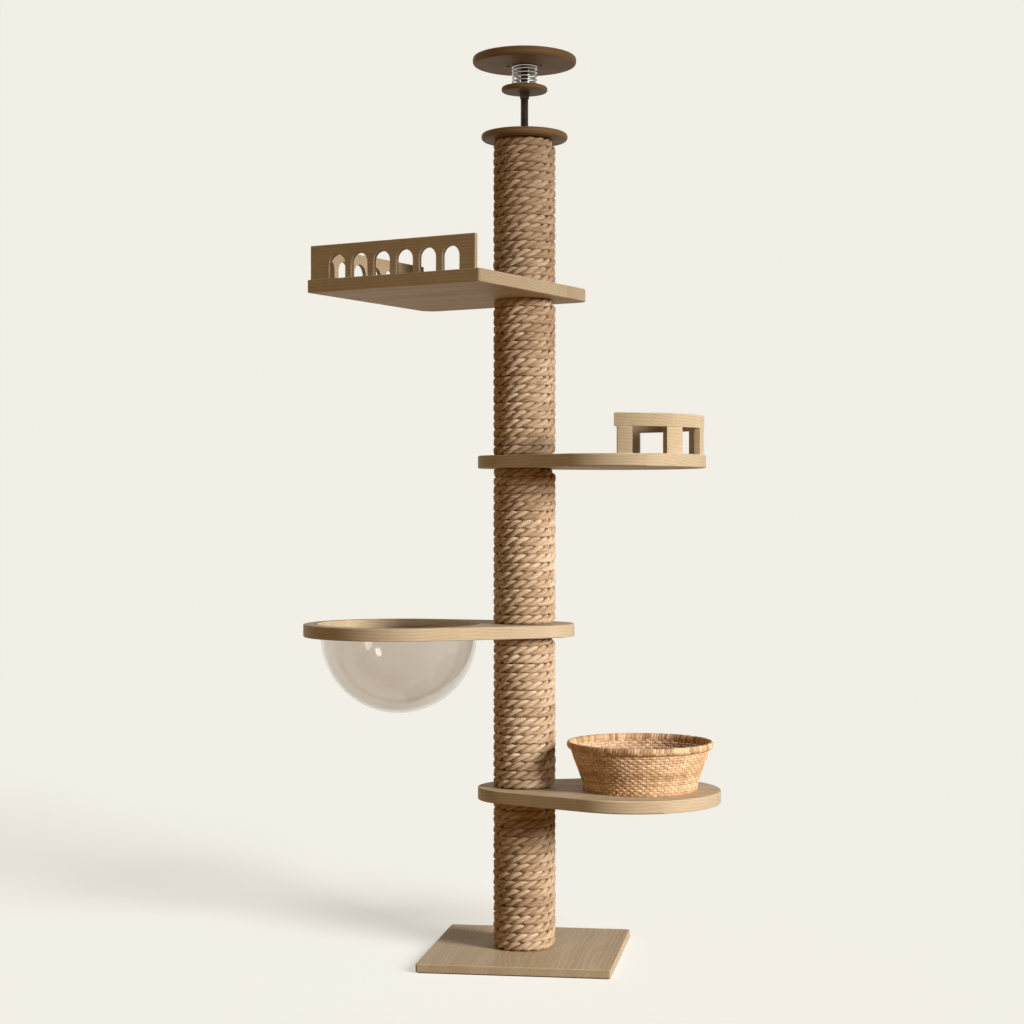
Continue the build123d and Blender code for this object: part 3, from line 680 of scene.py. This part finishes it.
def weave_basket(material):
    low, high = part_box("basket")
    centre = (low + high) / 2
    tubes = []
    steps = STAKES * 5 + 1
    row = 0
    height = WEAVER_HALF_HEIGHT
    while height < BASKET_NECK_Z - RIM_HALF_H * 0.5:
        middle = wall_radius(height) - BASKET_WALL / 2
        data = weave_row(height, 1 if row % 2 else -1, steps, STAKES, WEAVE_SWING, middle)
        tubes.append(hoop(data[0], data[1], WEAVER_HALF_DEPTH, WEAVER_HALF_HEIGHT * 0.98, 8, data[2]))
        height += ROW_PITCH
        row += 1
    levels = np.linspace(0.5 * MM, BASKET_NECK_Z, 14)
    for stake in range(STAKES):
        angle = TURN * stake / STAKES
        out = np.array([math.cos(angle), math.sin(angle), 0.0])
        line = out[None, :] * (wall_radius(levels) - BASKET_WALL / 2)[:, None]
        line[:, 2] = levels
        across = np.tile([-out[1], out[0], 0.0], (len(levels), 1))
        forward = unit(np.gradient(line, axis=0))
        rings = rings_round(line, across, np.cross(forward, across), STAKE_R, STAKE_R, 6)
        tubes.append((rings, levels, np.full(len(levels), chance.uniform(0.0, 0.2))))
    reach = 9 * MM
    row = 0
    while reach < BASKET_RADII[0] - BASKET_WALL / 2:
        around = max(48, int(TURN * reach / (2.5 * MM))) + 1
        spokes = FLOOR_SPOKES if reach > 40 * MM else FLOOR_SPOKES // 2
        angle = np.linspace(0, TURN, around)
        lift = BASKET_WALL / 2 + (1 if row % 2 else -1) * 1.6 * MM * np.cos(angle * spokes / 2)
        shade = np.clip(chance.uniform(0.2, 0.8) + 0.2 * np.sin(angle * spokes / 2), 0, 1)
        tubes.append(hoop(np.full(around, reach), lift, FLOOR_PITCH * 0.49, 1.4 * MM, 6, shade))
        reach += FLOOR_PITCH
        row += 1
    for spoke in range(FLOOR_SPOKES):
        angle = TURN * (spoke + 0.5) / FLOOR_SPOKES
        out = np.array([math.cos(angle), math.sin(angle), 0.0])
        start = 6 * MM if spoke % 2 else 36 * MM
        line = out[None, :] * np.linspace(start, BASKET_RADII[0] - 3 * MM, 8)[:, None]
        line[:, 2] = BASKET_WALL / 2
        across = np.tile([-out[1], out[0], 0.0], (8, 1))
        up = np.tile([0.0, 0.0, 1.0], (8, 1))
        rings = rings_round(line, up, across, 1.3 * MM, 2.2 * MM, 6)
        tubes.append((rings, np.linspace(0, 0.1, 8), np.full(8, 0.3)))
    tubes.extend(wrapped_rim())
    mesh = tube_mesh("woven_basket", tubes)
    mesh.transform(Matrix.Translation((centre.x, centre.y, low.z)))
    basket = new_object("woven_basket", mesh, material)
    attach(basket, "basket_deck")
    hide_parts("basket")


def wrapped_rim():
    """Flat cane wrapped round the rim, one slanting turn beside the next."""
    tubes = []
    ring = BASKET_RADII[-1] - RIM_INSET
    width = TURN * ring / WRAPS
    section = np.linspace(0, TURN, 25)
    up = np.array([0.0, 0.0, 1.0])
    for wrap in range(WRAPS):
        start = TURN * wrap / WRAPS + chance.uniform(-0.15, 0.15) * TURN / WRAPS
        angle = start + section / TURN * (TURN / WRAPS)
        out = np.stack([np.cos(angle), np.sin(angle), np.zeros_like(angle)], axis=-1)
        broad = out * math.cos(RIM_TILT) - up * math.sin(RIM_TILT)
        tall = out * math.sin(RIM_TILT) + up * math.cos(RIM_TILT)
        slack = chance.uniform(-0.3, 0.1) * MM - CANE_HALF_T
        across = np.cos(section)[:, None] * (RIM_HALF_W + slack)
        rise = np.sin(section)[:, None] * (RIM_HALF_H + slack)
        line = out * ring + broad * across + tall * rise
        line[:, 2] += BASKET_NECK_Z
        outward = broad * np.cos(section)[:, None] * RIM_HALF_H
        upward = tall * np.sin(section)[:, None] * RIM_HALF_W
        away = unit(outward + upward)
        along = np.stack([-np.sin(angle), np.cos(angle), np.zeros_like(angle)], axis=-1)
        rings = rings_round(line, along, away, width * 0.56, CANE_HALF_T, 8)
        shade = np.full(len(section), chance.uniform(0.0, 1.0))
        tubes.append((rings, section * RIM_HALF_H, shade))
    return tubes


# ---------------------------------------------------------------- bowl, spring and rod


def blow_bowl(material):
    low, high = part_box("acrylic_bowl")
    wall = 5 * MM
    lip = 4 * MM
    lip_over = 7 * MM
    lip_rise = 3 * MM
    centre = Vector(((low.x + high.x) / 2, (low.y + high.y) / 2, high.z - lip - lip_rise))
    outer = (high.x - low.x) / 2 - lip_over
    soft = 1 * MM
    arc = [math.radians(a) for a in np.linspace(-90, 0, 56)]
    profile = [(outer * math.cos(a), outer * math.sin(a)) for a in arc]
    profile[0] = (0, -outer)
    rim = outer + lip_over
    profile += [(outer, lip_rise - soft), (outer + soft, lip_rise), (rim - soft, lip_rise)]
    profile += [(rim, lip_rise + soft), (rim, lip_rise + lip - soft), (rim - soft, lip_rise + lip)]
    inner = outer - wall
    profile += [(inner + 2 * soft, lip_rise + lip), (inner + soft / 2, lip_rise + lip - soft)]
    profile += [(inner, lip_rise)]
    profile += [(inner * math.cos(a), inner * math.sin(a)) for a in reversed(arc)]
    profile[-1] = (0, -inner)
    mesh = lathe_mesh("clear_bowl", profile, centre, 160, sharp=60)
    bowl = new_object("clear_bowl", mesh, material)
    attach(bowl, "bowl")
    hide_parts("acrylic_bowl")


def wind_spring(material):
    low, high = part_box("coil_spring")
    wire = 2.2 * MM
    radius = (high.x - low.x) / 2 - wire
    bottom = low.z + wire
    top = high.z - wire
    turns = 6.0
    t = np.linspace(0, 1, int(turns * 44) + 1)
    closed = 0.75
    turned = t * turns
    close_pitch = 2.15 * wire
    free = (top - bottom - 2 * closed * close_pitch) / (turns - 2 * closed)
    rise = np.where(turned < closed, turned * close_pitch, closed * close_pitch + (turned - closed) * free)
    rise = np.where(turned > turns - closed, top - bottom - (turns - turned) * close_pitch, rise)
    smooth = np.convolve(np.pad(rise, 10, mode="edge"), np.ones(21) / 21, mode="valid")
    smooth[:11] = np.maximum(rise[:11], 0)
    angle = turned * TURN + 0.4
    out = np.stack([np.cos(angle), np.sin(angle), np.zeros_like(angle)], axis=-1)
    line = out * radius
    line[:, 2] = bottom + np.clip(smooth, 0, top - bottom)
    forward = unit(np.gradient(line, axis=0))
    second = np.cross(forward, out)
    rings = rings_round(line, out, second, wire, wire, 14)
    mesh = tube_mesh("chrome_spring", [(rings, turned * radius, np.full(len(t), 0.5))])
    spring = new_object("chrome_spring", mesh, material)
    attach(spring, "spring_head")
    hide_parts("coil_spring")
    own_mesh(spring)


def cut_rod(material):
    low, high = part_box("tension_rod")
    radius = high.x
    depth = 1.1 * MM
    pitch = 4 * MM
    sides = 36
    rows = int((high.z - low.z) / pitch * 8)
    profile = np.array([1.0, 1.0, 0.75, 0.25, 0.0, 0.0, 0.25, 0.75])
    heights = np.linspace(low.z, high.z, rows + 1)
    angle = np.arange(sides) * TURN / sides
    turn = (heights[:, None] - low.z) / pitch - angle[None, :] / TURN
    cut = np.interp(np.mod(turn, 1.0) * 8, np.arange(9), np.append(profile, profile[0]))
    ends = np.clip(np.minimum(heights - low.z, high.z - heights) / (3 * MM), 0, 1)[:, None]
    reach = radius - depth + depth * cut * ends
    levels = np.broadcast_to(heights[:, None], reach.shape)
    points = np.stack([reach * np.cos(angle), reach * np.sin(angle), levels], axis=-1)
    mesh = tube_mesh("threaded_rod", [(points, heights, np.full(len(heights), 0.5))])
    rod = new_object("threaded_rod", mesh, material)
    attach(rod, "tension_screw")
    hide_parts("tension_rod")


# ---------------------------------------------------------------- object

rope_material = sisal()
for section in range(1, 6):
    wind_rope(section, rope_material)
weave_basket(wicker())
blow_bowl(smoky_acrylic())
chrome = metal("chrome_wire", (214, 210, 204), (176, 172, 168), 0.16)
black = metal("black_steel", (75, 66, 52), (52, 45, 36), 0.5, 260.0)
zinc = metal("zinc_plate", (196, 194, 188), (150, 150, 146), 0.34, 300.0)
wind_spring(chrome)
cut_rod(black)

OAK_BOARDS = {
    "base_board": (90.0, 0.35),
    "basket_shelf": (-3.0, 0.0),
    "bowl_shelf": (9.4, 0.0),
    "rail_shelf": (-1.9, 0.0),
    "platform": (-21.9, 0.2),
    "front_fence": (-21.9, 0.0),
    "side_fence": (68.1, 0.0),
    "guard_top_rail": (88.0, 0.0),
}
for board, (grain_angle, seam_depth) in OAK_BOARDS.items():
    give(oak(f"oak_{board}", grain_angle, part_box(board), seams=seam_depth), board)
give(oak("oak_posts", 88.0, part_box("guard_post_1"), stave=0.6), *numbered("guard_post", 6))
# The top discs take a darker copy of the same oak: painted shade, for the top that sits out of the light.
for board in ("top_cap", "spring_seat", "ceiling_plate"):
    shaded_oak_copy = oak(f"oak_{board}", 8.0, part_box(board), light=(142, 112, 74), dark=(104, 74, 42))
    give(shaded_oak_copy, board)

give(board_stock("rubber_mat", (52, 48, 44), (30, 28, 26), 900.0), "base_mat")
give(board_stock("felt_pad", (70, 66, 60), (40, 38, 35), 1200.0), "ceiling_pad")
give(board_stock("tube_card", (176, 148, 112), (140, 112, 80), 500.0), *numbered("pole_tube", 5))
give(board_stock("plug_board", (186, 156, 116), (150, 120, 84), 700.0), *numbered("tube_plugs", 5))
give(zinc, "base_washer", "base_bolt", "plug_inserts", *numbered("shelf_stud", 4), "cap_insert")
give(zinc, "basket_screws", "guard_screws", "fence_screws")
give(black, "flared_nut", "guide_bolt", "plate_screws")


# ---------------------------------------------------------------- studio


def bright_paths(tree):
    """1 for rays that the camera, a reflection or a clear wall looks along, and 0 for scattered light."""
    path = tree.nodes.new("ShaderNodeLightPath")
    total = path.outputs["Is Camera Ray"]
    for output in ("Is Glossy Ray", "Is Transmission Ray"):
        either = tree.nodes.new("ShaderNodeMath")
        either.operation = "MAXIMUM"
        tree.links.new(total, either.inputs[0])
        tree.links.new(path.outputs[output], either.inputs[1])
        total = either.outputs[0]
    return total


def towards(azimuth, elevation):
    """The unit vector that points that way: azimuth 0 is -Y, and it grows towards +X."""
    level = math.cos(elevation)
    return Vector((level * math.sin(azimuth), -level * math.cos(azimuth), math.sin(elevation)))


def add_lamp(name, kind, way, place, strength, colour):
    lamp = bpy.data.lights.new(name, kind)
    lamp.energy = strength
    lamp.color = colour
    stand = bpy.data.objects.new(name, lamp)
    stand.location = place
    stand.rotation_euler = way.to_track_quat("Z", "Y").to_euler()
    stand.visible_glossy = False
    bpy.context.scene.collection.objects.link(stand)
    return stand


def light_room():
    world = bpy.data.worlds.new("studio")
    bpy.context.scene.world = world
    world.use_nodes = True
    tree = world.node_tree
    background = tree.nodes["Background"]
    mix = tree.nodes.new("ShaderNodeMix")
    mix.data_type = "RGBA"
    tree.links.new(bright_paths(tree), mix.inputs[0])
    mix.inputs[6].default_value = (*FILL, 1)
    mix.inputs[7].default_value = (*CREAM, 1)
    tree.links.new(mix.outputs[2], background.inputs[0])

    way = towards(KEY_AZIMUTH, KEY_ELEVATION)
    key = add_lamp("key", "SUN", way, (0, 0, 3), KEY_STRENGTH, KEY_COLOUR)
    key.data.angle = KEY_SOFTNESS
    aim = Vector((0, 0, BEAM_AIM_Z))
    power = BEAM_STRENGTH * 4 * math.pi * BEAM_DISTANCE**2
    way = towards(BEAM_AZIMUTH, KEY_ELEVATION)
    beam = add_lamp("beam", "SPOT", way, aim + way * BEAM_DISTANCE, power, KEY_COLOUR)
    beam.data.spot_size = 2 * BEAM_HALF_ANGLE
    beam.data.spot_blend = BEAM_EDGE
    beam.data.shadow_soft_size = BEAM_RADIUS
    side_way = towards(SIDE_AZIMUTH, SIDE_ELEVATION)
    side = add_lamp("side", "SUN", side_way, (0, 0, 3), SIDE_STRENGTH, SIDE_COLOUR)
    side.data.angle = SIDE_SOFTNESS
    for lamp, on_stage in ((key, True), (beam, False), (side, False)):
        lit = bpy.data.collections.new(f"{lamp.name}_lit")
        for piece in bpy.data.objects:
            if piece.type == "MESH" and (piece.name == "floor") == on_stage:
                lit.objects.link(piece)
        lamp.light_linking.receiver_collection = lit


def hang_window():
    """A bright two-pane window that only reflections show."""
    middle = Vector((0, 0, 1.0)) + towards(WINDOW_AZIMUTH, WINDOW_ELEVATION) * WINDOW_DISTANCE
    facing = towards(WINDOW_AZIMUTH, WINDOW_ELEVATION).to_track_quat("Z", "Y").to_matrix()
    width, height = WINDOW_SIZE
    bar = WINDOW_BAR
    points = []
    faces = []
    for side in (-1, 1):
        corners = ((bar, -height), (width, -height), (width, height), (bar, height))
        faces.append([len(points) + i for i in range(4)])
        points += [middle + facing @ Vector((side * x / 2, y / 2, 0)) for x, y in corners]
    mesh = bpy.data.meshes.new("window")
    mesh.from_pydata(points, [], faces)
    s = Shader("window_light")
    s.tree.nodes.remove(s.bsdf)
    shine = s.node("ShaderNodeEmission", {"Color": KEY_COLOUR, "Strength": WINDOW_RADIANCE})
    s.tree.links.new(shine.outputs[0], s.output.inputs[0])
    window = new_object("window", mesh, s.material)
    window.visible_camera = False
    window.visible_diffuse = False
    window.visible_shadow = False


def lay_floor():
    """A pale floor whose lit parts are as bright as the room behind it."""
    mesh = bpy.data.meshes.new("floor")
    reach = 400.0
    sides = 64
    angles = [TURN * i / sides for i in range(sides)]
    rim = [(reach * math.cos(a), reach * math.sin(a), 0.0) for a in angles]
    mesh.from_pydata(rim, [], [list(range(sides))])
    s = Shader("studio_floor")
    lit = KEY_STRENGTH * math.sin(KEY_ELEVATION) / math.pi
    light = [lit * k + f for k, f in zip(KEY_COLOUR, FILL)]
    s.tree.nodes.remove(s.bsdf)
    bounce = s.node("ShaderNodeBsdfDiffuse", {"Color": FLOOR_BOUNCE})
    shaded = s.node("ShaderNodeBsdfDiffuse", {"Color": [c / part for c, part in zip(CREAM, light)]})
    shine = s.node("ShaderNodeEmission", {"Color": CREAM, "Strength": 1.0})
    away = s.node("ShaderNodeVectorMath", {0: own_place(s)}, operation="LENGTH").outputs["Value"]
    share = s.band(away, *SHADOW_REACH, SHADOW_SHARE, 0.0)
    view = s.node("ShaderNodeMixShader", {0: share, 1: shine.outputs[0], 2: shaded.outputs[0]})
    both = s.node("ShaderNodeMixShader", {0: bright_paths(s.tree), 1: bounce.outputs[0], 2: view.outputs[0]})
    s.tree.links.new(both.outputs[0], s.output.inputs[0])
    floor = new_object("floor", mesh, s.material)


def set_camera():
    camera = bpy.data.cameras.new("camera")
    camera.lens = CAMERA_LENS
    camera.sensor_width = 36
    camera.shift_x, camera.shift_y = CAMERA_SHIFT
    camera.clip_start = 0.05
    camera.clip_end = 1000
    stand = bpy.data.objects.new("camera", camera)
    stand.location = CAMERA_PLACE
    stand.rotation_euler = (math.pi / 2, 0, VIEW_ANGLE)
    bpy.context.scene.collection.objects.link(stand)
    bpy.context.scene.camera = stand


set_camera()
lay_floor()
hang_window()
light_room()
bpy.context.scene.view_settings.view_transform = "Standard"
